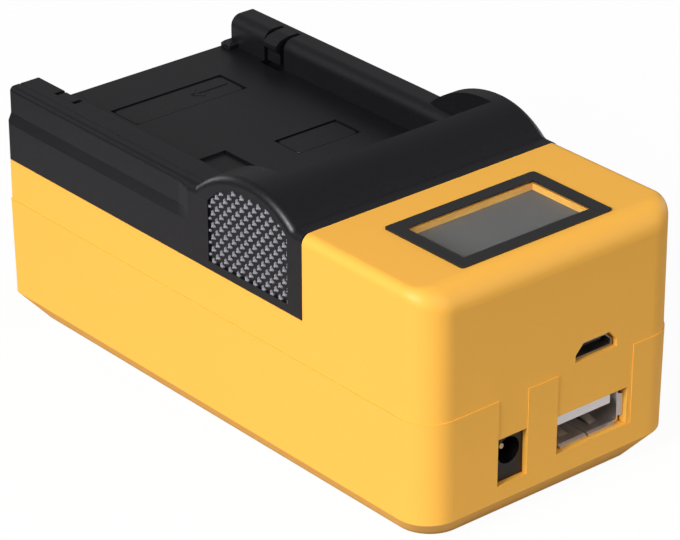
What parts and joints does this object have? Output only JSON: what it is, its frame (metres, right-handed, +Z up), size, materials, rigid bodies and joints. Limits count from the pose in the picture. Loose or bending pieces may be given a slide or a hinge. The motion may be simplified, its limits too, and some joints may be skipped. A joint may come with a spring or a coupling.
{
  "type": "camera battery charger",
  "caption": "Palm-sized camera battery charger with a display and charging sockets at its nose, a slide-off battery plate on top and a fold-away mains plug underneath.",
  "frame": {"origin": "middle of the footprint, on the surface the charger rests on", "axes": "+Z up, -Y towards the end with the sockets and the display, +X to the right when the socket end faces the viewer"},
  "size_m": [0.0504, 0.1004, 0.0451],
  "materials": {
    "yellow_case": "satin",
    "black_plastic": "satin",
    "bezel_black": "gloss",
    "display_pane": "gloss",
    "display_glass": "satin",
    "white_plastic": "satin",
    "circuit_board": "satin",
    "nickel_steel": "satin",
    "contact_brass": "satin",
    "ferrite": "matte",
    "copper_wire": "satin",
    "winding_tape": "satin",
    "can_aluminium": "satin"
  },
  "bodies": {
    "case": {"lower_case": "yellow_case", "upper_case": "yellow_case", "display_bezel": "bezel_black", "display_window": "display_pane", "lcd_panel": "display_glass", "lcd_holder": "white_plastic", "lcd_pins": "contact_brass", "control_board": "circuit_board", "power_board": "circuit_board", "main_board": "circuit_board", "usb_a_shell": "nickel_steel", "usb_a_tongue": "white_plastic", "usb_a_contacts": "contact_brass", "micro_usb_shell": "nickel_steel", "micro_usb_tongue": "black_plastic", "dc_jack_body": "black_plastic", "dc_jack_pin": "contact_brass", "dc_jack_spring": "contact_brass", "case_screws": "nickel_steel", "main_board_screws": "nickel_steel", "plug_housing": "black_plastic", "mains_springs": "contact_brass", "transformer_core": "ferrite", "transformer_winding": "winding_tape", "bulk_capacitor": "can_aluminium", "output_capacitors": "can_aluminium", "bridge_rectifier": "black_plastic", "power_switch": "black_plastic", "fuse": "black_plastic", "choke_coil": "copper_wire", "charge_chip": "black_plastic", "control_chip": "black_plastic", "signal_pins": "contact_brass", "power_pins": "contact_brass", "contact_pin_block": "black_plastic"},
    "plug": {"plug_carrier": "black_plastic", "plug_blades": "nickel_steel"},
    "plate_pins": {"contact_pins": "contact_brass"},
    "plate": {"battery_plate": "black_plastic", "battery_contacts": "contact_brass", "contact_holder": "white_plastic", "plate_board": "circuit_board"},
    "right_catch": {"battery_catch_right": "black_plastic"},
    "left_catch": {"battery_catch_left": "black_plastic"}
  },
  "joints": [
    {"name": "plug_fold", "type": "hinge", "parent": "case", "child": "plug", "pos_m": [0, 0.0328, 0.0047], "axis": [1, 0, 0], "range_deg": [0, 90]},
    {"name": "pin_travel", "type": "slide", "parent": "case", "child": "plate_pins", "axis": [0, 0, 1], "range_m": [-0.0006, 0], "stiffness_N_per_m": 400, "springref_m": 0.0005},
    {"name": "plate_slide", "type": "slide", "parent": "case", "child": "plate", "axis": [0, 1, 0], "range_m": [0, 0.07]},
    {"name": "right_catch_flex", "type": "hinge", "parent": "plate", "child": "right_catch", "pos_m": [0.02326, 0.0382, 0.0386], "axis": [0, -1, 0], "range_deg": [0, 6], "stiffness_Nm_per_rad": 0.05},
    {"name": "left_catch_flex", "type": "hinge", "parent": "plate", "child": "left_catch", "pos_m": [-0.02096, 0.04, 0.0386], "axis": [0, 1, 0], "range_deg": [0, 6], "stiffness_Nm_per_rad": 0.05}
  ]
}
